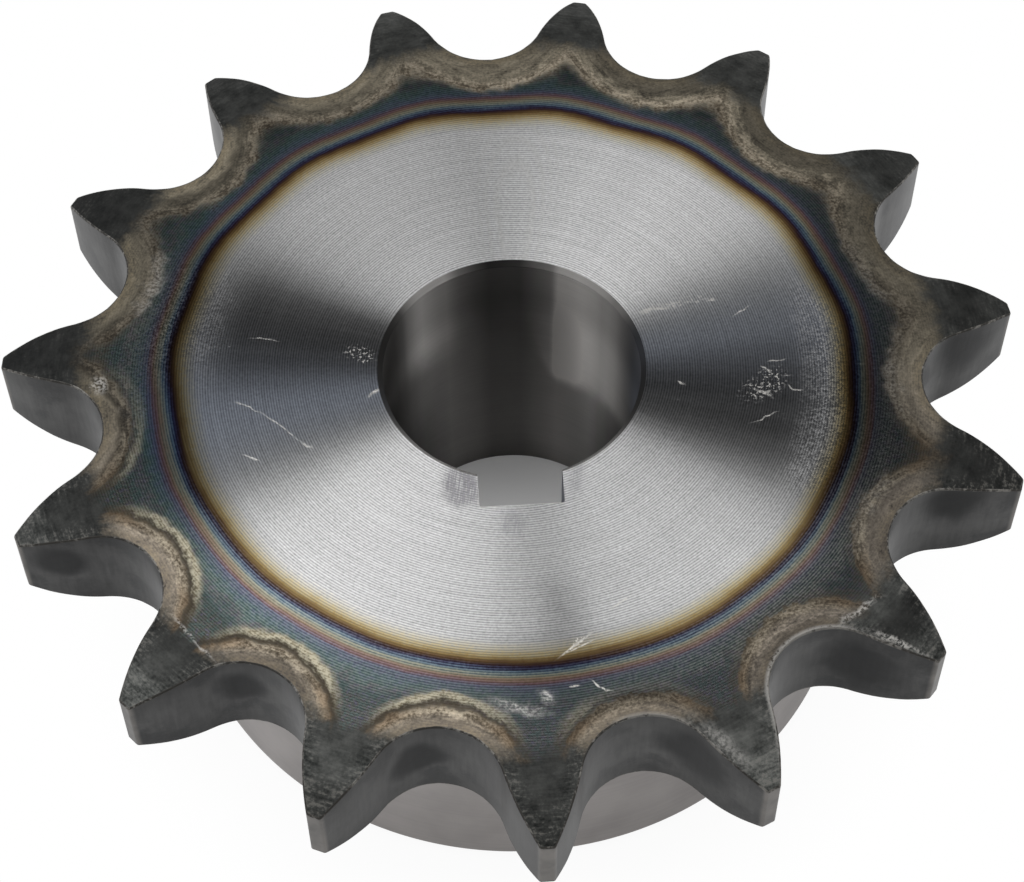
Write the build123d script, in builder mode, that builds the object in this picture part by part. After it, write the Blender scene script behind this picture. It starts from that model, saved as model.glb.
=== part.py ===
from build123d import *
import os
from math import degrees, isclose, pi, sin, sqrt

# Chain sprocket with a hub on one side, for simplex roller chain, finished to fit a keyed shaft.
# It is one piece of carbon steel.  The blank is turned with its hub and its rounded rim, the
# tooth gaps are cut through the rim, the bore is finished, and the keyway is broached along it,
# in line with a tooth.
#
# All sizes are in millimetres.  The origin is on the bore's axis, half way through the teeth,
# where the middle of the chain runs.  +Z points out of the toothed face, the hub stands
# downwards, and -Y points through the keyway and the tooth beside it.

# ---- Driving sizes ---------------------------------------------------------------------------

# The chain that the sprocket carries
chain_pitch = 19.05
roller_diameter = 12.07

# Teeth, in the standard form for roller chain: a seat for the roller between two convex flanks
tooth_count = 15
seat_clearance = 0.195  # the seat's radius is this much more than the roller's
seat_angle = 126.8  # degrees of the roller's edge that the seat follows
flank_radius = 24.5
tip_height = 4.09  # from the pitch circle out to the tips
tooth_width = 11.1  # a little under the chain's inner width
relief_radius = 19.05  # the teeth's sides are rounded off to lead the chain on
relief_depth = 2.02  # taken off each side at the tips

# Hub
overall_length = 35.0  # toothed face to hub end
hub_diameter = 70.0
hub_chamfer = 0.5
hub_fillet = 1.0  # left by the turning tool where the hub meets the toothed plate

# Bore and keyway
bore_diameter = 25.0
bore_chamfer = 0.5
keyway_width = 8.0
keyway_depth = 3.3  # below the bore's wall, measured on the keyway's middle
keyway_corner_radius = 0.2

# How far a cutter runs past the metal
cutter_overrun = 1.0

# ---- Sizes that follow from them -------------------------------------------------------------

pitch_radius = chain_pitch / sin(pi / tooth_count) / 2
seat_radius = roller_diameter / 2 + seat_clearance
root_radius = pitch_radius - seat_radius
tip_radius = pitch_radius + tip_height
tooth_angle = 360 / tooth_count

toothed_face = tooth_width / 2
back_face = -tooth_width / 2
hub_end = toothed_face - overall_length

hub_radius = hub_diameter / 2
bore_radius = bore_diameter / 2
relief_run = sqrt(relief_radius**2 - (relief_radius - relief_depth) ** 2)
relief_start = tip_radius - relief_run


# ---- Outline of one tooth gap ----------------------------------------------------------------


def tooth_gap():
    """One gap between teeth, with its roller's centre on +X and its mouth past the tip circle."""
    seat_start = 180 - seat_angle / 2
    cut_reach = tip_radius + cutter_overrun
    flank_sweep = degrees((cut_reach - root_radius) / flank_radius)
    with BuildSketch() as gap:
        with BuildLine():
            seat = CenterArc((pitch_radius, 0), seat_radius, seat_start, seat_angle)
            left = JernArc(seat @ 0, seat % 0 * -1, flank_radius, flank_sweep)
            right = JernArc(seat @ 1, seat % 1, flank_radius, -flank_sweep)
            left_mouth = left @ 1 + (cutter_overrun, 0)
            right_mouth = right @ 1 + (cutter_overrun, 0)
            Polyline(left @ 1, left_mouth, right_mouth, right @ 1)
        make_face()
    return gap.sketch


# ---- The sprocket ----------------------------------------------------------------------------

with BuildPart() as sprocket:

    # Turned blank: half of its section, from the bore out to the tips, with rounded rim sides
    with BuildSketch(Plane.XZ):
        with BuildLine():
            back_relief = TangentArc(
                (relief_start, back_face), (tip_radius, back_face + relief_depth), tangent=(1, 0)
            )
            face_relief = TangentArc(
                (relief_start, toothed_face), (tip_radius, toothed_face - relief_depth), tangent=(1, 0)
            )
            Line(back_relief @ 1, face_relief @ 1)
            Polyline(
                face_relief @ 0,
                (bore_radius, toothed_face),
                (bore_radius, hub_end),
                (hub_radius, hub_end),
                (hub_radius, back_face),
                back_relief @ 0,
            )
        make_face()
    revolve(axis=Axis.Z)

    def rims(radius):
        """The blank's round edges of one radius, from the hub's end upwards."""
        circles = sprocket.edges().filter_by(GeomType.CIRCLE)
        return circles.filter_by(lambda rim: isclose(rim.radius, radius)).sort_by(Axis.Z)

    chamfer(rims(hub_radius)[0], hub_chamfer)
    fillet(rims(hub_radius)[-1], hub_fillet)
    chamfer(rims(bore_radius), bore_chamfer)

    # Tooth gaps, placed so that one tooth is centred on -Y
    with BuildSketch(Plane.XY.offset(toothed_face + cutter_overrun)):
        with PolarLocations(0, tooth_count, start_angle=tooth_angle / 2 - 90):
            add(tooth_gap())
    extrude(amount=-(tooth_width + 2 * cutter_overrun), mode=Mode.SUBTRACT)

    # Keyway, broached through from the toothed face to the hub's end
    with BuildSketch(Plane.XY.offset(toothed_face)) as keyway:
        Rectangle(keyway_width, bore_radius + keyway_depth, align=(Align.CENTER, Align.MAX))
        fillet(keyway.vertices().group_by(Axis.Y)[0], keyway_corner_radius)
    extrude(amount=-overall_length, mode=Mode.SUBTRACT)

sprocket.part.label = "sprocket"

os.makedirs("parts", exist_ok=True)
export_step(sprocket.part, "parts/sprocket.step")
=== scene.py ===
import math

import bpy
import numpy as np
from mathutils import Matrix, Vector


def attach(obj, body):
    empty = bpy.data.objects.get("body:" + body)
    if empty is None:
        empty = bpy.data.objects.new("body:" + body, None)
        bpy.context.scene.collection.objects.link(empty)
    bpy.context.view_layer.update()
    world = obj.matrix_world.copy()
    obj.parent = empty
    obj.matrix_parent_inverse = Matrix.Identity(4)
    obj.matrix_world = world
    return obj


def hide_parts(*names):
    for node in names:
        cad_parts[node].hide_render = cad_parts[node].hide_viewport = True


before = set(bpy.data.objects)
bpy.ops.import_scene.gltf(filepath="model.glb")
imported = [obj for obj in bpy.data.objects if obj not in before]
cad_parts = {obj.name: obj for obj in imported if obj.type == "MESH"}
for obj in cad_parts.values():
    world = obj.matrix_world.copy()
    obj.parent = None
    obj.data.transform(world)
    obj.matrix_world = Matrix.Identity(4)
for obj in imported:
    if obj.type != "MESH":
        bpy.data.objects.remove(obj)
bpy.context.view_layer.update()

# ==== The sprocket: its form ======================================================================
# One piece of carbon steel.  The blank and its hub are turned, the teeth are hobbed with the rim's
# sides already rounded off, the bore is finished and the keyway broached.  Sizes are in millimetres.

tooth_count = 15
chain_pitch = 19.05
seat_radius = 6.23
seat_half_angle = math.radians(126.8 / 2)
flank_radius = 24.5
tip_height = 4.088
tip_corner = 0.3
relief_radius = 19.05
relief_depth = 2.02
toothed_face = 5.55
back_face = -5.55
hub_end = -29.45
hub_radius = 35.0
hub_chamfer = 0.5
hub_fillet = 1.0
bore_radius = 12.5
bore_chamfer = 0.5
keyway_half_width = 4.0
keyway_floor = 15.8
keyway_corner = 0.2
deburring = 0.12
worn_edge = 0.14
worn_edge_wander = 0.06
chamfer_band = 0.03
ring_inside_gaps = 38.2

pitch_radius = chain_pitch / 2 / math.sin(math.pi / tooth_count)
tip_radius = pitch_radius + tip_height
tooth_angle = math.tau / tooth_count
relief_start = tip_radius - math.sqrt(relief_radius**2 - (relief_radius - relief_depth) ** 2)
flank_centre = (
    pitch_radius - (seat_radius + flank_radius) * math.cos(seat_half_angle),
    (seat_radius + flank_radius) * math.sin(seat_half_angle),
)


def half_tooth_outline():
    """Points and outward directions from a gap's middle to the next tooth's middle.

    The gap's middle lies on +X.  Four curves follow each other without a break in direction: the
    roller seat, an arc about a point on the pitch circle; the convex flank, an arc about the
    flank's centre; the tip's rounded corner; and the land, an arc about the sprocket's axis.
    """
    reach = tip_radius - tip_corner
    span = math.hypot(*flank_centre)
    bend = (span**2 + reach**2 - (flank_radius - tip_corner) ** 2) / (2 * span * reach)
    land_angle = math.atan2(flank_centre[1], flank_centre[0]) - math.acos(bend)
    corner_centre = (reach * math.cos(land_angle), reach * math.sin(land_angle))
    flank_end = math.atan2(corner_centre[1] - flank_centre[1], corner_centre[0] - flank_centre[0])

    def arc(centre, radius, start, end, steps, facing=1.0):
        turn = np.linspace(start, end, steps, endpoint=False)
        way = np.stack([np.cos(turn), np.sin(turn)], 1)
        return np.array(centre) + radius * way, facing * way

    curves = [
        arc((pitch_radius, 0), seat_radius, math.pi, math.pi - seat_half_angle, 16, facing=-1.0),
        arc(flank_centre, flank_radius, -seat_half_angle, flank_end, 17),
        arc(corner_centre, tip_corner, flank_end, land_angle, 4),
        arc((0, 0), tip_radius, land_angle, tooth_angle / 2, 2),
    ]
    points, out = zip(*curves)
    return np.concatenate(points), np.concatenate(out)


def turned(vectors, angle):
    """The same vectors turned about the axis by each angle: the usual two sines and cosines."""
    c, s = np.cos(angle), np.sin(angle)
    x, y = vectors[..., 0], vectors[..., 1]
    return np.stack([x * c - y * s, x * s + y * c], -1)


def tooth_outline():
    """The whole outline: each half tooth and its mirror image, turned to all the gaps in order."""
    points, out = half_tooth_outline()
    up_to_tip = len(points) + 1
    tip = np.array([[tip_radius * math.cos(tooth_angle / 2), tip_radius * math.sin(tooth_angle / 2)]])
    mirror = np.array([1.0, -1.0])
    points = np.concatenate([points, tip, (points * mirror)[:0:-1]])
    out = np.concatenate([out, tip / tip_radius, (out * mirror)[:0:-1]])
    step = np.where(np.arange(len(points)) < up_to_tip, 0.0, tooth_angle)
    points, out = turned(points, step), turned(out, step)
    turns = -math.pi / 2 + tooth_angle * (0.5 + np.arange(tooth_count))[:, None]
    return turned(points[None], turns).reshape(-1, 2), turned(out[None], turns).reshape(-1, 2)


def keyway_marks(radius):
    """Angles from -Y where the keyed bore's outline changes: round the key's corner, up its wall,
    over its deburred edge, and on to the bore's own circle."""
    side = keyway_half_width + deburring
    edge_height = math.sqrt((radius + deburring) ** 2 - side**2)
    inner = keyway_half_width - keyway_corner
    return np.array([
        math.atan2(inner, keyway_floor),
        math.atan2(keyway_half_width, keyway_floor - keyway_corner),
        math.atan2(keyway_half_width, edge_height),
        math.atan2(side, edge_height),
    ])


def keyed_bore(angles, radius):
    """Points on the keyed bore's outline, for angles from -Y measured at the bore's wall.

    The angles are first eased so that the outline's marks at this radius keep their columns.  The
    distance along each ray is then that of the key's floor, its corner's far side, its wall, its
    deburred edge's near side, or the bore.
    """
    wanted, given = keyway_marks(radius), keyway_marks(bore_radius)
    eased_up_to = 0.6
    knots = [0.0, *given, eased_up_to, math.pi]
    size = np.interp(np.abs(angles), knots, [0.0, *wanted, eased_up_to, math.pi])
    way = np.stack([np.sin(size), np.cos(size)], 1)

    def ray_to_circle(centre, circle_radius, side):
        along = way @ np.array(centre)
        inside = along**2 - np.dot(centre, centre) + circle_radius**2
        return along + side * np.sqrt(np.maximum(inside, 0.0))

    corner = (keyway_half_width - keyway_corner, keyway_floor - keyway_corner)
    mouth = keyway_half_width + deburring
    edge = (mouth, math.sqrt((radius + deburring) ** 2 - mouth**2))
    reach = np.select(
        [size < wanted[0], size < wanted[1], size < wanted[2], size < wanted[3]],
        [
            keyway_floor / np.cos(size),
            ray_to_circle(corner, keyway_corner, 1),
            keyway_half_width / np.maximum(np.sin(size), 1e-6),
            ray_to_circle(edge, deburring, -1),
        ],
        radius,
    )
    return np.stack([np.sign(angles) * np.sin(size) * reach, -np.cos(size) * reach], 1)


def rim_height(radius):
    """How far the toothed rim's sides stand from its middle: flat, then falling on an arc."""
    past = np.clip(radius - relief_start, 0.0, relief_radius)
    return toothed_face - relief_radius + np.sqrt(relief_radius**2 - past**2)


def sprocket_columns():
    """Columns round the sprocket: the tooth outline's points, with more where the keyway turns.

    An added column's outer point lies on the roller seat in line with it, by the law of sines.
    """
    points, out = tooth_outline()
    angles = np.arctan2(points[:, 0], -points[:, 1])
    marks = keyway_marks(bore_radius)
    added = np.concatenate([np.linspace(marks[0], marks[1], 4), np.linspace(marks[2], marks[3], 4)])
    added = np.concatenate([-added[::-1], added])
    away = np.abs(np.abs(added) - tooth_angle / 2)
    lean = np.arcsin(pitch_radius * np.sin(away) / seat_radius) - away
    local = np.stack([pitch_radius - seat_radius * np.cos(lean), seat_radius * np.sin(lean)], 1)
    local_out = np.stack([np.cos(lean), -np.sin(lean)], 1)
    past_gap = np.where(np.abs(added) > tooth_angle / 2, 1.0, -1.0) * np.sign(added)
    local[:, 1] *= past_gap
    local_out[:, 1] *= past_gap
    gap = -math.pi / 2 + np.sign(added) * tooth_angle / 2
    too_close = math.radians(0.12)
    keep = np.min(np.abs(angles[:, None] - added[None]), 1) > too_close
    points = np.concatenate([points[keep], turned(local, gap)])
    out = np.concatenate([out[keep], turned(local_out, gap)])
    angles = np.concatenate([angles[keep], added])
    order = np.argsort(angles)
    return angles[order], points[order], out[order]


def sprocket_grid():
    """Rows of points over the whole surface, from the bore's top edge out, down and back to it.

    Each row is a closed loop with one point in each column.  The face's rows are spread between
    the keyed bore, a ring inside the gaps, and the rim; the rim's edges are quarter turns of a
    small radius that varies a little round the teeth; the hub's rows are circles.  A chamfer turns
    to its neighbours within a narrow band along each of its edges.  Returns the rows in metres
    and, for each row, the finish of the band of faces between it and the next.
    """
    angles, outline, out = sprocket_columns()
    circle = np.stack([np.sin(angles), -np.cos(angles)], 1)
    spin = np.random.default_rng(15)
    counts = (37, 61, 88, 131, 174, 239)
    waves = sum(np.sin(angles * count + spin.uniform(0, math.tau)) for count in counts) / len(counts)
    edge = worn_edge + worn_edge_wander * waves[:, None]
    rows = []

    def add(xy, z, finish):
        z = np.broadcast_to(np.asarray(z, float).reshape(-1, 1), (len(angles), 1))
        rows.append((np.concatenate([xy, z], 1), finish))

    def rim_edge(side, finish, turns):
        for turn in turns:
            xy = outline - out * edge * (1 - math.sin(turn))
            drop = (edge * (1 - math.cos(turn)))[:, 0]
            add(xy, side * (rim_height(np.hypot(*xy.T)) - drop), finish)

    def spread(inner, outer, shares, side, finish):
        for share in shares:
            xy = inner * (1 - share) + outer * share
            add(xy, side * rim_height(np.hypot(*xy.T)), finish)

    inset = outline - out * edge
    quarter = np.linspace(0, math.pi / 2, 6)
    mouth = keyed_bore(angles, bore_radius + bore_chamfer)
    ring = circle * ring_inside_gaps

    # Bore's chamfer at the toothed face, the face, the rim
    chamfer_top = keyed_bore(angles, bore_radius + bore_chamfer - chamfer_band)
    chamfer_foot = keyed_bore(angles, bore_radius + chamfer_band)
    wall = keyed_bore(angles, bore_radius)
    add(wall, toothed_face - bore_chamfer, "bore")
    add(chamfer_foot, toothed_face - bore_chamfer + chamfer_band, "bore")
    add(chamfer_top, toothed_face - chamfer_band, "bore")
    spread(mouth, ring, (0.0, 0.2, 0.4, 0.6, 0.8, 0.93, 1.0), 1, "face")
    spread(ring, inset, (0.3, 0.5, 0.65, 0.78, 0.88, 0.95, 0.985), 1, "face")
    rim_edge(1, "flank", quarter)
    half_width = rim_height(np.hypot(*outline.T)) - edge[:, 0]
    for share in (0.5, 0.0, -0.5):
        add(outline, half_width * share, "flank")
    rim_edge(-1, "flank", quarter[::-1][:-1])

    # Back of the teeth, and the fillet up to the hub's wall
    hub_foot = circle * (hub_radius + hub_fillet)
    spread(inset, ring, (0.0, 0.015, 0.05, 0.12, 0.22, 0.35, 0.5, 0.7), -1, "back")
    spread(ring, hub_foot, (0.0, 0.5), -1, "back")
    for turn in quarter:
        reach = hub_radius + hub_fillet * (1 - math.sin(turn))
        add(circle * reach, back_face - hub_fillet * (1 - math.cos(turn)), "hub")

    # The hub's wall, chamfer and end, and the bore back up to where it began
    for height in (-14.0, -21.0, hub_end + hub_chamfer):
        add(circle * hub_radius, height, "hub")
    add(circle * (hub_radius - chamfer_band), hub_end + hub_chamfer - chamfer_band, "hub")
    add(circle * (hub_radius - hub_chamfer + chamfer_band), hub_end + chamfer_band, "hub")
    for share in (0.0, 0.3, 0.6, 0.9):
        add(circle * (hub_radius - hub_chamfer) * (1 - share) + mouth * share, hub_end, "hub")
    add(mouth, hub_end, "bore")
    add(chamfer_top, hub_end + chamfer_band, "bore")
    add(chamfer_foot, hub_end + bore_chamfer - chamfer_band, "bore")
    for height in (hub_end + bore_chamfer, -22.0, -15.0, -8.0, -1.0):
        add(wall, height, "bore")
    return np.array([row for row, _ in rows]) / 1000, [finish for _, finish in rows]


def sprocket_mesh():
    """The closed mesh of the grid, each square joined to its neighbours in both directions.

    A point's direction is the sum of its squares' area vectors, half the cross product of their
    diagonals, so a wide face keeps its own direction up to a narrow rounded edge.
    """
    rows, finishes = sprocket_grid()
    count, width = rows.shape[:2]
    number = np.arange(count * width).reshape(count, width)
    beside, below = np.roll(number, -1, 1), np.roll(number, -1, 0)
    across = np.roll(below, -1, 1)
    squares = np.stack([number, below, across, beside], -1).reshape(-1, 4)
    points = rows.reshape(-1, 3)
    area = np.cross(points[across] - points[number], points[beside] - points[below])
    facing = area + np.roll(area, 1, 0) + np.roll(area, 1, 1) + np.roll(area, (1, 1), (0, 1))
    facing /= np.linalg.norm(facing, axis=-1, keepdims=True)
    mesh = bpy.data.meshes.new("sprocket_steel")
    mesh.from_pydata(points.tolist(), [], squares.tolist())

    # The finishes are numbered in the order in which their materials are added, further on
    slots = {"face": 0, "flank": 1, "back": 0, "hub": 2, "bore": 3}
    finish = np.repeat([slots[name] for name in finishes], width).astype(np.int32)
    mesh.polygons.foreach_set("material_index", finish)
    mesh.polygons.foreach_set("use_smooth", np.ones(len(finish), bool))
    mesh.normals_split_custom_set_from_vertices(facing.reshape(-1, 3).tolist())
    mesh.update()
    return mesh


sprocket = bpy.data.objects.new("toothed_sprocket", sprocket_mesh())
bpy.context.scene.collection.objects.link(sprocket)
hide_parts("sprocket")
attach(sprocket, "root")

# ---- Finish of the toothed face ----
# The face is turned, so its tool marks run round the bore.  Hardening the teeth by induction left
# rings of temper colour on it and brown scale along each gap; the teeth's rounded sides stay dark.

tool_feed = 0.255
temper_start = 29.5
temper_end = 39.5


class Field:
    """A number, colour or place that varies over a surface: one output socket of a material."""

    def __init__(self, tree, socket=None):
        self.tree = tree
        self.socket = socket

    def node(self, kind, settings, sockets, output=0):
        """Adds a node: its settings first, then the values or links of its sockets."""
        made = self.tree.nodes.new(kind)
        for name, setting in settings.items():
            if name == "stops":
                ramp = made.color_ramp.elements
                while len(ramp) < len(setting):
                    ramp.new(1.0)
                for stop, (place, colour) in zip(ramp, setting):
                    stop.position = place
                    stop.color = (*colour, 1.0)
            else:
                setattr(made, name, setting)
        for name, value in sockets.items():
            if isinstance(value, Field):
                self.tree.links.new(value.socket, made.inputs[name])
            else:
                made.inputs[name].default_value = value
        return Field(self.tree, made.outputs[output]) if len(made.outputs) else None

    def math(self, operation, *values):
        """This number and the others through a Math node."""
        sockets = dict(enumerate((self, *values)))
        return self.node("ShaderNodeMath", {"operation": operation}, sockets)

    def vector(self, operation, *values, output=0):
        """This place or colour and the others through a Vector Math node."""
        sockets = dict(enumerate((self, *values)))
        return self.node("ShaderNodeVectorMath", {"operation": operation}, sockets, output)

    def __add__(self, other):
        return self.math("ADD", other)

    def __sub__(self, other):
        return self.math("SUBTRACT", other)

    def __rsub__(self, other):
        return self.node("ShaderNodeMath", {"operation": "SUBTRACT"}, {0: other, 1: self})

    def __mul__(self, other):
        return self.math("MULTIPLY", other)

    def __truediv__(self, other):
        return self.math("DIVIDE", other)

    def __pow__(self, other):
        return self.math("POWER", other)

    __radd__ = __add__
    __rmul__ = __mul__

    def most(self, other):
        return self.math("MAXIMUM", other)

    def least(self, other):
        return self.math("MINIMUM", other)

    def parts(self):
        """The three numbers of a place or colour."""
        made = self.node("ShaderNodeSeparateXYZ", {}, {0: self}).socket.node
        return [Field(self.tree, socket) for socket in made.outputs]

    def rise(self, low, high):
        """0 below low, 1 above high, and a smooth step between; a high under low falls instead."""
        settings = {"interpolation_type": "SMOOTHSTEP"}
        if isinstance(low, Field) or low < high:
            return self.node("ShaderNodeMapRange", settings, {0: self, 1: low, 2: high})
        return self.node("ShaderNodeMapRange", settings, {0: self, 1: high, 2: low, 3: 1.0, 4: 0.0})

    def colour(self, low, high):
        """A colour that goes from low, where this mask is 0, to high, where it is 1."""
        ends = [end if isinstance(end, Field) else (*end, 1.0) for end in (low, high)]
        settings = {"data_type": "RGBA"}
        return self.node("ShaderNodeMix", settings, {0: self, 6: ends[0], 7: ends[1]}, output=2)

    def shaded(self, share):
        """This colour or place times one number, which may vary."""
        return self.vector("SCALE", (0.0, 0.0, 0.0), (0.0, 0.0, 0.0), share)

    def ramp(self, stops):
        """The colour that a list of places and colours gives this number."""
        return self.node("ShaderNodeValToRGB", {"stops": stops}, {0: self})

    def noise(self, scale, detail=3.0, roughness=0.55, twist=0.0):
        """Noise at this place, about 0.5 on average; scale is in lumps to the millimetre."""
        sockets = {"Vector": self, "Scale": scale, "Detail": detail, "Roughness": roughness}
        sockets["Distortion"] = twist
        return self.node("ShaderNodeTexNoise", {"noise_dimensions": "3D"}, sockets)


class SteelFinish:
    """A new material for the sprocket, with its place in millimetres, its reach from the axis, its
    turn from the keyway and how far down the face it lies: 1 at the keyway, -1 opposite."""

    def __init__(self, name):
        self.material = bpy.data.materials.new(name)
        self.material.use_nodes = True
        start = Field(self.material.node_tree)
        start.tree.nodes.clear()
        self.place = start.node("ShaderNodeTexCoord", {}, {}, output=3).shaded(1000.0)
        self.x, self.y, self.z = self.place.parts()
        self.reach = (self.x * self.x + self.y * self.y) ** 0.5
        self.turn = self.x.math("ARCTAN2", self.y * -1.0)
        self.down = self.y / self.reach * -1.0

    def at(self, x, y, z=0.0):
        """A place made of three numbers."""
        return self.x.node("ShaderNodeCombineXYZ", {}, {0: x, 1: y, 2: z})

    def round_place(self, lumps, rise):
        """A place for noise that runs round the axis: the same at all reaches, so that rise alone
        changes it outwards or upwards.  lumps is how many of its lumps fit round a radian."""
        return self.at(self.x / self.reach * lumps, self.y / self.reach * lumps, rise)

    def from_marks(self, place, marks):
        """How far each place is from the nearest of some marks: 1 at a mark's own edge.

        A mark is a long ellipse between two ends.  Moved, turned and scaled to that mark's own
        frame, the ellipse is a circle of radius 1, and the distance is the length of the place.
        """
        nearest = None
        for (x0, y0), (x1, y1), width in marks:
            own = place.node("ShaderNodeMapping", {"vector_type": "TEXTURE"}, {
                "Vector": place,
                "Location": ((x0 + x1) / 2, (y0 + y1) / 2, 0.0),
                "Rotation": (0.0, 0.0, math.atan2(y1 - y0, x1 - x0)),
                "Scale": (math.hypot(x1 - x0, y1 - y0) / 2, width / 2, 1.0),
            })
            away = own.vector("LENGTH", output=1)
            nearest = away if nearest is None else nearest.least(away)
        return nearest

    def rubbed_gaps(self, share):
        """1 in the second gap to the keyway's right, whose edges are rubbed bright, and a share of
        that in the first."""
        second = self.turn.rise(0.42, 0.50) * self.turn.rise(0.80, 0.70)
        return second.most(self.turn.rise(0.14, 0.20) * self.turn.rise(0.36, 0.28) * share)

    def surface(self, colour, roughness, height, metallic=1.0, grooves=0.0, gloss=0.5):
        """A steel surface; grooves that run round the axis spread light across themselves."""
        sockets = {
            "Base Color": colour,
            "Metallic": metallic,
            "Roughness": roughness,
            "Specular IOR Level": gloss,
            "Anisotropic": grooves,
            "Anisotropic Rotation": 0.25,
        }
        if height is not None:
            bump = {"Strength": 1.0, "Distance": 0.001, "Height": height}
            sockets["Normal"] = self.x.node("ShaderNodeBump", {}, bump)
        return self.x.node("ShaderNodeBsdfPrincipled", {}, sockets)

    def finish(self, shader):
        """Makes the shader this material's surface, and gives the sprocket the material."""
        shader.node("ShaderNodeOutputMaterial", {}, {"Surface": shader})
        sprocket.data.materials.append(self.material)


class ToothedFace(SteelFinish):
    """The toothed face: the noises and measures that its layers share, then each layer in turn,
    from the film of temper colours to the newest scratches."""

    def __init__(self):
        super().__init__("toothed_face")
        self.low = self.down.rise(-0.1, 0.45)
        self.round_turn = (self.turn / math.tau).math("FRACT")
        self.flat = self.at(self.x, self.y)
        wobble = {"Vector": self.flat, "Scale": 0.8, "Detail": 1.0}
        wobble = self.flat.node("ShaderNodeTexNoise", {}, wobble, output=1)
        self.bent = self.flat.vector("ADD", wobble.vector("SUBTRACT", (0.5, 0.5, 0.5)))
        self.mottle = self.place.noise(0.55, 3.0)
        self.speckle = self.place.noise(3.4, 2.0, 0.6)
        self.lumps = self.place.noise(0.14, 1.0)
        self.mark_tool_feed()
        self.measure_gaps()
        self.measure_rings()

    def mark_tool_feed(self):
        """The tool's even feed, its rings each a little different from the next, and fine strokes.

        The feed is a sine wave outwards, one wave to each turn of the work, that wanders a little.
        """
        self.threads = self.round_place(1.8, self.reach * 3.6).noise(1.0, 2.0, 0.7)
        self.strokes = self.round_place(26.0, self.reach * 3.6).noise(1.0, 2.0)
        self.wander = self.round_place(1.6, self.reach * 0.05).noise(1.0, 1.0) - 0.5
        waves = self.reach * (math.tau / tool_feed) + self.turn + self.wander * 9.0
        self.feed = waves.math("SINE")

    def measure_gaps(self):
        """How far each place lies from the edge of the nearest gap, and from the next gap's seat.

        The turn is folded to and fro, so that all the gaps lie on each other with their middles on
        one line.  A seat's edge is its radius away from the roller's centre, and a flank's edge
        lies the flank's radius from the flank's own centre, which is inside the tooth.
        """
        swing = self.turn.math("PINGPONG", tooth_angle / 2)
        self.lean = tooth_angle / 2 - swing
        x = self.reach * self.lean.math("COSINE")
        y = self.reach * self.lean.math("SINE")
        self.from_seat = ((x - pitch_radius) ** 2 + y**2) ** 0.5 - seat_radius
        from_flank = ((x - flank_centre[0]) ** 2 + (y - flank_centre[1]) ** 2) ** 0.5
        from_flank = flank_radius - from_flank
        on_flank = y.math("ARCTAN2", pitch_radius - x).math("GREATER_THAN", seat_half_angle)
        self.from_edge = self.from_seat + on_flank * (from_flank - self.from_seat)
        far = tooth_angle / 2 + swing
        x = self.reach * far.math("COSINE")
        y = self.reach * far.math("SINE")
        self.from_next_seat = ((x - pitch_radius) ** 2 + y**2) ** 0.5 - seat_radius

    def measure_rings(self):
        """Which ring of temper colour each place lies in, as the ring's radius.

        It is the place's reach, less a lean to one side, an oval and a wave for each tooth, and
        roughened by the noises and the tool marks.
        """
        wave = (self.turn * float(tooth_count)).math("COSINE") * (0.17 - 0.1 * self.down)
        self.double = (self.turn * 2.0).math("SINE")
        self.left_side = self.turn.rise(-2.15, -1.95) * self.turn.rise(-1.35, -1.75)
        side = (self.turn - math.radians(30)).math("COSINE") * 0.15 + self.left_side * 0.25
        mottle, speckle = self.mottle - 0.5, self.speckle - 0.5
        ring = self.reach - 0.18 - side - self.double * 0.17 - wave + self.wander * 0.5 + mottle * 0.35
        ring = ring + (self.threads - 0.5) * (0.5 + 0.5 * self.low)
        ring = ring + self.feed * (0.03 + 0.04 * self.low)
        ring = ring + speckle * (0.25 + 0.9 * ring.rise(32.5, 31.3))
        self.ring = ring + mottle * 3.5 * ring.rise(35.0, 36.0)
        self.outer = self.ring.rise(34.3, 35.4)

    def temper_film(self):
        """The film's colour in each ring: straw, brown, purple and blue, then the same again
        fainter, then grey, with greener and bluer spots."""
        temper_colours = [
            (30.10, 0.50, 0.50, 0.50), (30.90, 0.45, 0.425, 0.355), (31.40, 0.385, 0.325, 0.20),
            (31.90, 0.235, 0.17, 0.075), (32.25, 0.105, 0.062, 0.026), (32.62, 0.030, 0.016, 0.020),
            (32.95, 0.032, 0.036, 0.075), (33.30, 0.080, 0.120, 0.155), (33.70, 0.175, 0.185, 0.145),
            (34.10, 0.165, 0.118, 0.080), (34.45, 0.110, 0.064, 0.072), (34.85, 0.075, 0.082, 0.125),
            (35.40, 0.066, 0.100, 0.120), (36.20, 0.062, 0.096, 0.088), (36.90, 0.074, 0.074, 0.078),
            (37.60, 0.052, 0.070, 0.068), (38.80, 0.055, 0.056, 0.050),
        ]
        width = temper_end - temper_start
        stops = [((radius - temper_start) / width, colour) for radius, *colour in temper_colours]
        film = ((self.ring - temper_start) / width).ramp(stops)
        greyer = (self.turn - math.radians(60)).math("COSINE").rise(-0.3, 0.6)
        film = (greyer * self.outer * 0.6).colour(film, (0.064, 0.064, 0.069))
        tinge = self.place.noise(2.0, 2.0, 0.7)
        film = (tinge.rise(0.46, 0.60) * self.outer * 0.5).colour(film, (0.036, 0.062, 0.060))
        return (tinge.rise(0.46, 0.36) * self.outer * 0.4).colour(film, (0.060, 0.058, 0.098))

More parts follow.
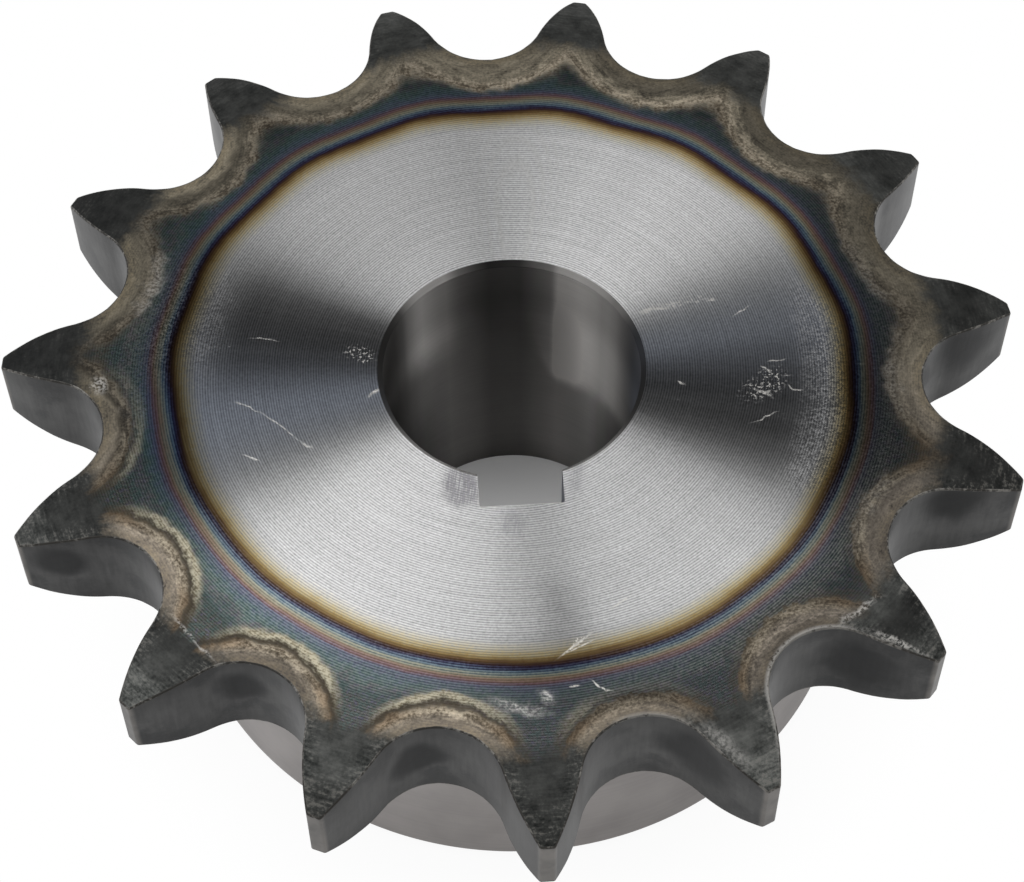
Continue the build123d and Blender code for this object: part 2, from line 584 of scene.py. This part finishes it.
    def film_lightness(self):
        """How light the film is round the face, for some angles from the keyway: its gold ring,
        its blue one and the outer ones.  Part of it stands in for light that the lamps here don't
        give.  A ramp holds numbers up to 1, so the numbers are scaled for it."""
        ring_tones = [
            (0, 0.79, 0.86, 1.00), (40, 1.04, 0.92, 0.62), (60, 0.85, 0.88, 0.60),
            (75, 1.04, 0.86, 0.60), (100, 1.08, 1.05, 0.69), (135, 0.86, 0.66, 0.46),
            (180, 0.92, 0.84, 0.66), (225, 0.90, 0.72, 0.67), (255, 1.12, 1.40, 1.22),
            (285, 0.90, 1.10, 1.02), (300, 0.88, 1.30, 1.25), (320, 1.08, 1.50, 1.45),
            (345, 1.04, 1.22, 1.30), (360, 0.79, 0.86, 1.00),
        ]
        lightest = 1.6
        stops = [(angle / 360, [tone / lightest for tone in tones]) for angle, *tones in ring_tones]
        gold, blue, outer = self.round_turn.ramp(stops).parts()
        lightness = gold + self.ring.rise(32.4, 33.4) * (blue - gold)
        lightness = (lightness + self.outer * (outer - lightness)) * lightest
        return 1.0 + self.reach.rise(29.0, 30.4) * (lightness - 1.0)

    def coat_with_film(self):
        """The turned steel's colour under its film.  Towards both sides of the bore it is painted
        darker, a painted reflection of a dark room in such steel; below the keyway a painted darker
        streak stands in for a gap in the reflected light; and faint rays cross it.
        The tops of the tool marks are bright through the film, most of all on the low side."""
        # Painted shade: darker sectors on both sides of the bore, for the reflection of a dark room
        sides = ((self.turn - math.radians(75)) * 2.0).math("COSINE")
        sides = sides.rise(0.74, 1.0) * self.reach.rise(30.5, 26.0)
        # Painted shade: a darker streak below the keyway, for a gap in the reflected light
        painted_dark_streak = self.from_marks(self.flat, [((2.4, -23.0), (3.4, -32.5), 5.0)]).rise(1.5, 0.1)
        rays = self.round_place(6.0, self.reach * 0.02).noise(1.0, 3.0, 0.7).rise(0.3, 0.7) - 0.5
        lightness = self.film_lightness() * (1.0 - sides * 0.40)
        lightness = lightness * (1.0 - 0.26 * painted_dark_streak * (0.5 + self.mottle))
        lightness = lightness * (1.0 + rays * (0.06 + 0.24 * sides))
        grain = 1.0 + 0.30 * self.feed + 0.40 * (self.threads - 0.5) + 0.8 * (self.speckle - 0.5)
        film = self.temper_film().shaded(lightness * grain)
        tops = (self.feed * 0.5 + (self.speckle - 0.5) * 2.2).rise(-0.7, 1.5)
        bright_sides = self.double.math("ABSOLUTE") * self.down.rise(0.1, 0.5)
        bright_sides = bright_sides * self.ring.rise(31.9, 32.7)
        tops = tops * (0.13 * self.ring.rise(32.9, 33.6) + 0.87 * bright_sides)
        return (tops * self.ring.rise(38.5, 36.0) * 0.33).colour(film, (0.44, 0.42, 0.38))

    def lay_gap_scale(self, film):
        """Brown scale along the gaps, with a pale line beyond it: the colour, and where it lies.

        Two neighbouring gaps' distances are joined by a rounded minimum: the lesser of the two,
        less a length that is longest where they are equal.
        """
        # For each gap, in turn from the keyway: how far the scale reaches in from the edge and how
        # softly it joins the next gap's, both in millimetres, how strong the pale line is, and how
        # light the scale is near the edge, further in and near its far side.
        gaps = [
            (2.2, 0.35, 0.10, 0.90, 0.45, 0.55), (3.2, 0.35, 0.10, 0.58, 1.00, 0.90),
            (3.5, 0.20, 0.00, 0.60, 0.40, 0.50), (3.6, 2.30, 0.00, 0.95, 0.64, 0.28),
            (3.7, 3.40, 0.00, 0.48, 0.50, 0.38), (4.4, 1.70, 0.00, 0.50, 0.42, 0.88),
            (4.4, 0.90, 0.00, 0.58, 0.50, 0.98), (4.6, 1.00, 0.00, 0.85, 0.90, 0.95),
            (3.8, 2.30, 0.00, 1.00, 0.66, 0.62), (4.1, 0.25, 0.00, 1.15, 0.40, 0.54),
            (3.6, 2.00, 0.00, 0.80, 0.60, 0.38), (2.9, 0.80, 0.35, 0.80, 0.20, 0.50),
            (2.6, 0.40, 0.90, 1.50, 1.50, 1.10), (2.5, 0.35, 1.00, 0.80, 1.50, 0.75),
            (2.4, 0.35, 0.90, 1.25, 1.75, 1.20),
        ]
        longest, lightest = 5.0, 2.1
        keyway = [sum(pair) / 2 for pair in zip(gaps[0], gaps[-1])]
        stops = [((n + 0.5) / tooth_count, gap) for n, gap in enumerate(gaps)]
        stops = [(0.0, keyway), *stops, (1.0, keyway)]
        shape = [(at, (gap[0] / longest, gap[1] / longest, gap[2])) for at, gap in stops]
        tones = [(at, [tone / lightest for tone in gap[3:]]) for at, gap in stops]
        width, joining, pale = self.round_turn.ramp(shape).parts()
        near_tone, mid_tone, far_tone = self.round_turn.ramp(tones).parts()
        width, joining = width * longest, joining * longest

        # How far in from the gaps each place is, roughened by noise that flows round with the scale
        apart = (self.from_next_seat - self.from_seat).math("ABSOLUTE")
        shared = (-1.0 * apart / joining).math("EXPONENT") + 1.0
        band = self.from_seat.least(self.from_next_seat) - joining * shared.math("LOGARITHM", math.e)
        self.flow = self.round_place(17.0, band * 1.5).noise(1.0, 3.0, 0.65, 0.9)
        mottle, speckle, flow = self.mottle - 0.5, self.speckle - 0.5, self.flow - 0.5
        uneven = mottle * 2.2 + speckle * 0.7 + flow * 1.2
        band = band + uneven * (1.0 - 0.45 * pale)
        within = width - band
        crisp = self.down.rise(-0.35, 0.45)
        scale = (within / (0.65 - 0.35 * crisp.most(pale))).rise(-1.0, 1.0)
        fringe = within.rise(-1.0, -0.3) * within.rise(0.6, 0.0) * (0.40 * crisp + 0.60 * pale)
        past = (band - width - 0.32) / 0.95
        line = past.rise(-0.3, 0.35) * past.rise(1.3, 0.55) * pale * self.lean.rise(0.19, 0.11)

        crust = self.low.colour((0.175, 0.153, 0.113), (0.222, 0.190, 0.153))
        streaked = (self.flow * 0.4 + self.speckle * 0.35 + self.mottle * 0.25).rise(0.40, 0.58)
        crust = (band.rise(1.5, 0.4) * streaked * 0.55).colour(crust, (0.150, 0.120, 0.072))
        far_colour = streaked.colour((0.120, 0.095, 0.064), (0.275, 0.238, 0.180))
        crust = (within + mottle * 1.5).rise(1.8, 0.6).colour(crust, far_colour)
        ends = within.rise(-0.4, 0.1) * within.rise(1.5, 0.5) * self.reach.rise(38.0, 39.8) * self.low
        crust = (ends * 0.6).colour(crust, (0.150, 0.100, 0.058))
        lightness = near_tone + band.rise(1.1, 1.8) * (mid_tone - near_tone)
        lightness = (lightness + band.rise(2.2, 2.8) * (far_tone - lightness)) * lightest
        rough = 1.0 + 0.06 * self.feed + 1.5 * speckle + 2.0 * flow + 1.0 * mottle
        crust = crust.shaded(lightness * rough * (0.8 + 0.4 * self.lumps))
        colour = scale.colour(film, crust)
        colour = (fringe * 0.85).colour(colour, (0.058, 0.042, 0.024))
        beads = (self.speckle * 0.6 + self.flow * 0.4 + self.feed * 0.05).rise(0.36, 0.60)
        beads = beads.colour((0.29, 0.245, 0.155), (0.68, 0.62, 0.46))
        return (line * 0.9).colour(colour, beads), scale.most(line).most(fringe)

    def lay_tooth_scale(self, colour, crusted):
        """Dull dark scale on the teeth's rounded sides, scuffed towards the edges and tips on the
        low side: the colour, and where scale lies."""
        # For each tooth, in turn from the keyway: how light it is at its root, middle and tip.
        teeth = [
            (1.10, 1.10, 1.15), (1.40, 2.20, 3.30), (1.75, 0.48, 1.90), (0.62, 0.52, 0.60),
            (0.84, 0.54, 1.00), (1.32, 0.85, 0.95), (1.10, 1.10, 1.40), (1.03, 1.15, 1.25),
            (1.00, 1.15, 1.30), (0.90, 1.10, 0.74), (0.64, 0.50, 0.36), (0.60, 0.50, 0.43),
            (0.85, 1.05, 1.85), (1.00, 1.45, 3.60), (1.70, 2.30, 1.40),
        ]
        lightest = 3.6
        stops = enumerate(teeth + teeth[:1])
        stops = [(n / tooth_count, [tone / lightest for tone in tooth]) for n, tooth in stops]
        root, middle, tip = self.round_turn.ramp(stops).parts()
        lightness = root + self.reach.rise(43.0, 44.8) * (middle - root)
        lightness = (lightness + self.reach.rise(45.8, 47.8) * (tip - lightness)) * lightest
        mottle, flow = self.mottle - 0.5, self.flow - 0.5
        side = self.reach + mottle * 3.5 + flow * 2.5 + (self.lumps - 0.5) * 1.5
        side = side.rise(40.3, 42.6)
        near_edge = self.from_edge.rise(2.2, 0.2).most(self.reach.rise(45.0, 48.5))
        near_edge = near_edge * (0.25 + 0.75 * self.low)
        scuffs = (self.strokes * 0.5 + self.speckle * 0.5 - 0.5) * (0.9 + 1.4 * near_edge)
        scuffs = ((scuffs + mottle * 1.2) * 0.5 + 0.5).rise(0.2, 0.8)
        tooth = scuffs.colour((0.006, 0.0068, 0.0062), (0.060, 0.061, 0.057)).shaded(lightness)
        worn = self.strokes * 0.45 + self.speckle * 0.4 + self.mottle * 0.3 + near_edge * 0.05
        worn = worn.rise(0.64, 0.74) * near_edge
        tooth = (worn * 0.45).colour(tooth, (0.20, 0.19, 0.17))
        edge_line = self.rubbed_gaps(0.5) * self.from_edge.rise(0.55, 0.15)
        edge_line = edge_line * (self.mottle * 0.5 + self.speckle * 0.5).rise(0.36, 0.5)
        colour = (edge_line * 0.8).colour(side.colour(colour, tooth), (0.36, 0.35, 0.33))
        return colour, crusted.most(side).most(edge_line)

    def frosting(self):
        """Two masks: metal frosted where the oxide starts, on the right and left, and a haze on
        the film beyond it."""
        right_side = self.turn.rise(0.7, 1.1) * self.turn.rise(2.1, 1.7)
        frosted = (self.reach + (self.mottle - 0.5) * 3.0).rise(26.8, 30.6) * self.ring.rise(33.0, 31.5)
        grains = (self.speckle * 0.75 + self.mottle * 0.25).rise(0.40, 0.58)
        frost = (right_side + self.left_side * 0.45) * frosted * grains * (0.32 + 0.04 * self.feed)
        haze = (right_side * 0.6 + self.left_side * 1.6) * self.ring.rise(32.3, 33.2)
        haze = haze * self.ring.rise(38.0, 36.0) * (0.3 + 0.7 * self.speckle.rise(0.40, 0.62)) * 0.16
        return frost, haze

    def handling_marks(self):
        """Scratches, streaks, smears, a rub and clusters of small dents, each between two ends on
        the face, in millimetres, and with its width."""
        speckle = self.speckle
        scratches = self.from_marks(self.bent, [
            ((-26.8, -2.2), (-23.9, -3.9), 0.22), ((-24.4, -3.6), (-20.5, -7.3), 0.24),
            ((-20.4, -7.2), (-19.3, -8.2), 0.40), ((-14.0, -2.5), (-12.7, -1.6), 0.36),
            ((-25.4, 5.2), (-22.5, 4.6), 0.16), ((-26.2, -8.4), (-24.3, -9.3), 0.20),
            ((12.0, 5.4), (16.7, 6.3), 0.50), ((14.3, 6.3), (17.6, 6.7), 0.26),
            ((19.4, 6.5), (20.5, 6.9), 0.45), ((21.6, 4.7), (24.1, 5.9), 0.18),
            ((15.8, -2.5), (16.5, -3.3), 0.30), ((22.9, -3.9), (25.0, -5.3), 0.45),
            ((24.0, -1.3), (25.0, -2.6), 0.22), ((24.5, -1.1), (26.7, -0.9), 0.20),
            ((26.3, -4.0), (27.6, -4.7), 0.22), ((22.4, -8.1), (25.2, -6.9), 0.18),
            ((2.8, -35.4), (3.9, -35.0), 0.30), ((4.7, -34.7), (6.8, -36.1), 0.28),
        ])
        straight_scratches = self.from_marks(self.flat, [
            ((6.9, -27.8), (9.6, -26.0), 0.30), ((1.9, -32.5), (5.9, -29.5), 0.34),
            ((2.6, -32.0), (6.0, -30.4), 0.20),
        ])
        scratches = scratches.least(straight_scratches).rise(1.25, 0.35)
        scratches = scratches * (0.5 + 0.5 * speckle.rise(0.36, 0.54))
        streaks = self.from_marks(self.bent, [
            ((-32.8, -25.1), (-30.1, -29.1), 0.45), ((-31.2, -27.8), (-28.7, -30.6), 0.45),
            ((27.6, -30.6), (32.2, -27.6), 0.8), ((30.0, -31.1), (35.8, -33.4), 0.8),
            ((-39.9, 1.6), (-39.6, -0.6), 1.8),
        ])
        streaks = streaks.rise(1.25, 0.1) * (speckle * 0.6 + self.strokes * 0.4).rise(0.42, 0.58)
        smears = self.from_marks(self.bent, [
            ((-5.0, -36.0), (1.2, -38.0), 1.6), ((0.0, -35.4), (1.7, -36.8), 1.6),
        ])
        broken = (speckle * 0.6 + self.threads * 0.4).rise(0.38, 0.58)
        smears = smears.rise(1.3, 0.0) * (0.35 + 0.65 * broken)
        dents = self.from_marks(self.bent, [
            ((-16.2, 3.4), (-12.8, 1.3), 2.6), ((21.4, -5.4), (27.0, -1.9), 3.6),
            ((12.6, 5.8), (20.4, 7.2), 1.4), ((3.2, -31.6), (5.2, -30.0), 1.4),
        ])
        dents = dents.rise(1.1, 0.4) * speckle.rise(0.54, 0.62)
        rub = self.from_marks(self.bent, [((14.2, -39.4), (18.4, -44.2), 1.5)]).rise(1.4, 0.0)
        rub = rub * (0.4 + 0.6 * speckle.rise(0.36, 0.60))
        marked = (scratches * 0.85).most(dents * 0.85).most(streaks * 0.55).most(smears * 0.8)
        return marked, rub * 0.30

    def filed_places(self):
        """Places filed beside the keyway, and the file's strokes: noise stretched along them."""
        direction, length, pitch = 1.4, 2.5, 0.2
        c, s = math.cos(direction), math.sin(direction)
        along, across = self.x * c + self.y * s, self.y * c - self.x * s
        brushed = self.at(along / length, across / pitch).noise(1.0, 2.0)
        filed = self.from_marks(self.bent, [((-6.1, -10.6), (-5.2, -16.2), 4.2)]).rise(1.1, 0.6) * 0.9
        rubbed = self.from_marks(self.bent, [
            ((-1.1, -16.0), (-1.0, -19.6), 3.8), ((5.6, -10.6), (4.9, -15.6), 2.0),
        ])
        filed = filed.most(rubbed.rise(1.2, 0.3) * 0.7)
        return filed * (0.5 + 0.5 * brushed.rise(0.38, 0.58)), brushed

    def dress(self):
        """Lays the layers on each other.  The bare and filmed steel shines across its tool marks;
        what lies on it or has been scratched is duller, and a mask says where."""
        film = self.coat_with_film()
        colour, crusted = self.lay_gap_scale(film)
        colour, crusted = self.lay_tooth_scale(colour, crusted)
        frost, haze = self.frosting()
        pits = self.speckle.rise(0.68, 0.76) * 0.3
        marked, rub = self.handling_marks()
        marked = marked.most(haze).most(rub)
        filed, brushed = self.filed_places()
        filed_colour = brushed.rise(0.35, 0.65).colour((0.12, 0.117, 0.132), (0.31, 0.30, 0.322))
        colour = filed.colour(colour, filed_colour)
        colour = marked.colour(colour, (0.70, 0.68, 0.64))

        duller = 0.014 + 0.28 * self.ring.rise(33.3, 36.0) + 0.4 * self.ring.rise(36.0, 38.5)
        share = duller.most(crusted).most(frost).most(pits).most(marked).most(filed)
        shine = self.surface(film, 0.388, None, grooves=0.928)
        metal = (1.0 - 0.7 * crusted).most(marked)
        bumps = (self.speckle - 0.5) * 0.03
        dull = self.surface(colour, 0.42 + 0.20 * crusted, bumps, metal, gloss=0.2)
        self.finish(share.node("ShaderNodeMixShader", {}, {0: share, 1: shine, 2: dull}))


ToothedFace().dress()

# ---- Finish of the teeth's flanks ----
# The gaps are hobbed smooth.  Hardening and quenching left them dark grey, blotched near the face,
# and their rounded edges are a little worn.


def flank_finish():
    steel = SteelFinish("tooth_flanks")
    reach, place = steel.reach, steel.place
    past = (reach - relief_start).most(0.0)
    rim = toothed_face - relief_radius + (relief_radius**2 - past**2) ** 0.5
    drop = rim - steel.z.math("ABSOLUTE")
    mottle = place.noise(0.3, 3.0)
    speckle = place.noise(2.6, 3.0, 0.6)
    stain = place.noise(0.2, 2.0)
    strokes = steel.at(steel.x * 2.2, steel.y * 2.2, steel.z * 0.3).noise(1.0, 2.0)
    shade = (mottle * 0.6 + strokes * 0.4).rise(0.3, 0.7)
    colour = shade.colour((0.040, 0.040, 0.040), (0.068, 0.068, 0.067))
    colour = colour.shaded(0.78 + 0.34 * drop.rise(0.0, 4.5))
    blotch = (stain + (speckle - 0.5) * 0.2 + (3.0 - drop) * 0.03).rise(0.54, 0.70)

    # Darker patches on some flanks, each with a middle, in millimetres, and a radius
    nearest = None
    for *middle, radius in (
        (14.6, -40.9, 0.9, 4.0), (40.2, -3.2, 1.0, 4.0), (44.1, 0.8, 2.7, 4.2),
        (30.5, -31.0, 0.0, 4.8), (-43.5, -16.7, 1.1, 2.6), (-11.0, -38.7, 0.0, 2.6),
        (-26.7, -30.8, 0.7, 2.6), (13.7, -40.3, 2.5, 1.8), (40.6, -15.8, 3.0, 3.2),
    ):
        away = place.vector("DISTANCE", middle, output=1) / radius
        nearest = away if nearest is None else nearest.least(away)
    darker_patches = (nearest + (stain - 0.5) * 1.2).rise(1.3, 0.5)
    colour = (blotch * 0.62).most(darker_patches * 0.76).colour(colour, (0.017, 0.018, 0.019))

    # The teeth's tips are turned, and paler; the gaps' edges are worn
    land = reach.rise(tip_radius - 0.5, tip_radius - 0.1)
    tip_colour = mottle.rise(0.3, 0.7).colour((0.09, 0.087, 0.082), (0.16, 0.15, 0.14))
    colour = land.colour(colour, tip_colour)
    edge = drop.rise(0.30, 0.10)
    worn = (mottle * 0.5 + speckle * 0.5 + steel.rubbed_gaps(0.6) * 0.12).rise(0.47, 0.62)
    edge_colour = worn.colour((0.055, 0.052, 0.047), (0.26, 0.25, 0.23))
    colour = (edge * 0.9).colour(colour, edge_colour)
    dullness = (edge * 0.6).most(darker_patches * 0.9)
    bumps = speckle * 0.006 + strokes * 0.008
    steel.finish(steel.surface(colour, 0.37 + 0.2 * edge, bumps, 1.0 - dullness, gloss=0.1))


flank_finish()

# ---- Finish of the hub ----
# The hub is turned smooth and left bright, with fine rings from the tool round its wall.
# Its colour has painted light and shade: lighter towards its left side, darker towards its right.


def hub_finish():
    steel = SteelFinish("turned_hub")
    threads = steel.round_place(0.8, steel.reach * 4.0 + steel.z * 4.0).noise(1.0, 2.0, 0.7)
    mottle = steel.place.noise(0.14, 3.0)
    colour = mottle.rise(0.3, 0.7).colour((0.33, 0.31, 0.302), (0.39, 0.367, 0.357))
    # Painted light and shade: lighter towards -X and darker towards +X
    colour = colour.shaded(0.9 + 0.2 * threads - 0.0035 * steel.x)
    steel.finish(steel.surface(colour, 0.36, (threads - 0.5) * 0.004, grooves=0.8))


hub_finish()

# ---- Finish of the bore ----
# The bore is bored smooth and its keyway broached.  Its wall mirrors lights and dark room in soft
# stripes.  They are part of its colour here, so they stay where they are when the light changes.


def bore_finish():
    steel = SteelFinish("bore_wall")
    threads = steel.round_place(0.8, steel.z * 5.0).noise(1.0, 2.0, 0.7)
    mottle = steel.place.noise(0.2, 3.0)

    # For angles from the side opposite the keyway, up to a quarter turn each way: how light the
    # wall is high up, low down and on its chamfer
    stripes = [
        (-90, 0.20, 0.10, 0.16), (-77, 0.15, 0.06, 0.12), (-63, 0.075, 0.04, 0.08),
        (-56, 0.085, 0.04, 0.075), (-49, 0.20, 0.07, 0.19), (-42, 0.37, 0.13, 0.30),
        (-28, 0.44, 0.30, 0.37), (-21, 0.29, 0.28, 0.17), (-13, 0.21, 0.26, 0.08),
        (-7, 0.17, 0.22, 0.035), (7, 0.21, 0.24, 0.055), (14, 0.37, 0.30, 0.15),
        (22, 0.50, 0.34, 0.20), (25, 0.97, 0.36, 0.38), (35, 0.82, 0.30, 0.37),
        (43, 0.46, 0.26, 0.27), (49, 0.24, 0.15, 0.21), (56, 0.15, 0.08, 0.12),
        (63, 0.10, 0.05, 0.13), (77, 0.09, 0.05, 0.08), (90, 0.14, 0.08, 0.12),
    ]
    near_keyway = (0.3, 0.3, 0.2)
    stops = [(0.5 - angle / 360, tones) for angle, *tones in stripes[::-1]]
    stops = [(0.0, near_keyway), *stops, (1.0, near_keyway)]
    round_turn = (steel.turn / math.tau).math("FRACT")
    high, deep, at_chamfer = round_turn.ramp(stops).parts()
    # Painted reflections too: the lighter high tones reach further down on the right side, and the wall
    # is painted lighter lower down
    right_side = steel.x.rise(2.0, 5.0)
    depth = steel.z + (mottle - 0.5) * 2.0
    high_part = depth.rise(-9.0 - 5.0 * right_side, -2.5 - 8.5 * right_side)
    lightness = deep + high_part * (high - deep)
    lightness = lightness * (1.0 + (0.36 + 0.1 * right_side) * depth.rise(1.0, -4.0))
    chamfer_edge = toothed_face - bore_chamfer
    chamfer = steel.z.rise(chamfer_edge - 0.05, chamfer_edge + 0.02)
    lightness = lightness + chamfer * (at_chamfer - lightness)
    lightness = lightness * (0.8 + 0.2 * threads + 0.2 * mottle)
    colour = lightness.least(0.97).colour((0.0, 0.0, 0.0), (1.0, 0.97, 0.94))
    steel.finish(steel.surface(colour, 0.5, (threads - 0.5) * 0.004, grooves=1.0))


bore_finish()

# ==== Floor =======================================================================================
# A wide plain white table top, which the hub stands on.  It looks white to the eye and in the
# metal, keeps a soft shadow, and is in the shade under the sprocket.

floor_level = hub_end / 1000
floor_reach = 8.0
corners = [(-1, -1), (1, -1), (1, 1), (-1, 1)]
corners = [(floor_reach * x, floor_reach * y, floor_level) for x, y in corners]
floor_mesh = bpy.data.meshes.new("table_top")
floor_mesh.from_pydata(corners, [], [(0, 1, 2, 3)])
floor = bpy.data.objects.new("table_top", floor_mesh)
bpy.context.scene.collection.objects.link(floor)

white = bpy.data.materials.new("white_table")
white.use_nodes = True
table = Field(white.node_tree)
table.tree.nodes.clear()
table_x, table_y, _ = table.node("ShaderNodeTexCoord", {}, {}, output=3).parts()
table_reach = (table_x * table_x + table_y * table_y) ** 0.5
rays = ("Is Camera Ray", "Is Glossy Ray", "Is Transmission Ray")
eye, in_metal, through = [table.node("ShaderNodeLightPath", {}, {}, output=ray) for ray in rays]

# The shade under the hub, in metres from the axis: full at its start, gone at its end
open_table = table_reach.rise(0.024, 0.036)
to_eye = 0.13 + 0.83 * open_table + 0.04 * table_reach.rise(0.034, 0.05)
to_metal = 0.5 * open_table + 0.5 * table_reach.rise(0.04, 0.10)
paint = {"Base Color": (0.95, 0.95, 0.95, 1.0), "Roughness": 1.0}
paint = table.node("ShaderNodeBsdfPrincipled", {}, paint)
glow = table.node("ShaderNodeEmission", {}, {"Color": (1.0, 1.0, 1.0, 1.0), "Strength": 1.0})
lit = (eye.most(through) * to_eye).most(in_metal * to_metal)
table_top = table.node("ShaderNodeMixShader", {}, {0: lit, 1: paint, 2: glow})
table.node("ShaderNodeOutputMaterial", {}, {"Surface": table_top})
floor_mesh.materials.append(white)

# ==== Light =======================================================================================
# Two long softboxes overhead, left and right, and a weak bluish one further back.  The room is pale
# near the floor and dark above.

softbox_height = 0.7055

for name, x, y, width, depth, brightness, tint in (
    ("left_softbox", -0.518, 0.115, 1.064, 0.229, 6.52, (1.0, 1.0, 1.0)),
    ("right_softbox", 0.443, 0.078, 0.748, 0.156, 8.0, (1.0, 1.0, 1.0)),
    ("sky_softbox", -0.699, 0.542, 0.35, 0.28, 3.0, (0.75, 0.88, 1.15)),
):
    lamp = bpy.data.lights.new(name, "AREA")
    lamp.shape = "RECTANGLE"
    lamp.size = width
    lamp.size_y = depth
    lamp.energy = brightness * math.pi * width * depth
    lamp.color = tint
    softbox = bpy.data.objects.new(name, lamp)
    softbox.location = (x, y, softbox_height)
    bpy.context.scene.collection.objects.link(softbox)

world = bpy.data.worlds.new("studio")
world.use_nodes = True
room = Field(world.node_tree)
room.tree.nodes.clear()
_, _, upwards = room.node("ShaderNodeTexCoord", {}, {}).parts()
walls = upwards.rise(0.45, 0.12).colour((0.014, 0.014, 0.015), (0.6, 0.6, 0.6))
walls = room.node("ShaderNodeBackground", {}, {"Color": walls})
room.node("ShaderNodeOutputWorld", {}, {"Surface": walls})
bpy.context.scene.world = world

# ==== Camera ======================================================================================
# Above and in front of the keyway, looking down at the toothed face.

camera_elevation = math.radians(56.3024)
camera_azimuth = math.radians(-3.141)
camera_roll = math.radians(-0.5567)
camera_distance = 256.6387
camera_offset = (0.0283, -7.1821)
camera_lens = 93.40

back = Vector((
    math.sin(camera_azimuth) * math.cos(camera_elevation),
    -math.cos(camera_azimuth) * math.cos(camera_elevation),
    math.sin(camera_elevation),
))
right = Vector((math.cos(camera_azimuth), math.sin(camera_azimuth), 0))
up = back.cross(right)
right, up = (
    right * math.cos(camera_roll) + up * math.sin(camera_roll),
    up * math.cos(camera_roll) - right * math.sin(camera_roll),
)
aim = Vector((0, 0, toothed_face))
place = (aim + right * camera_offset[0] + up * camera_offset[1] + back * camera_distance) / 1000
view = bpy.data.cameras.new("camera")
view.sensor_width = 36.0
view.lens = camera_lens
view.clip_start = 0.01
view.clip_end = 50
camera = bpy.data.objects.new("camera", view)
camera.matrix_world = Matrix.Translation(place) @ Matrix((right, up, back)).transposed().to_4x4()
bpy.context.scene.collection.objects.link(camera)
bpy.context.scene.camera = camera
bpy.context.scene.view_settings.view_transform = "Standard"
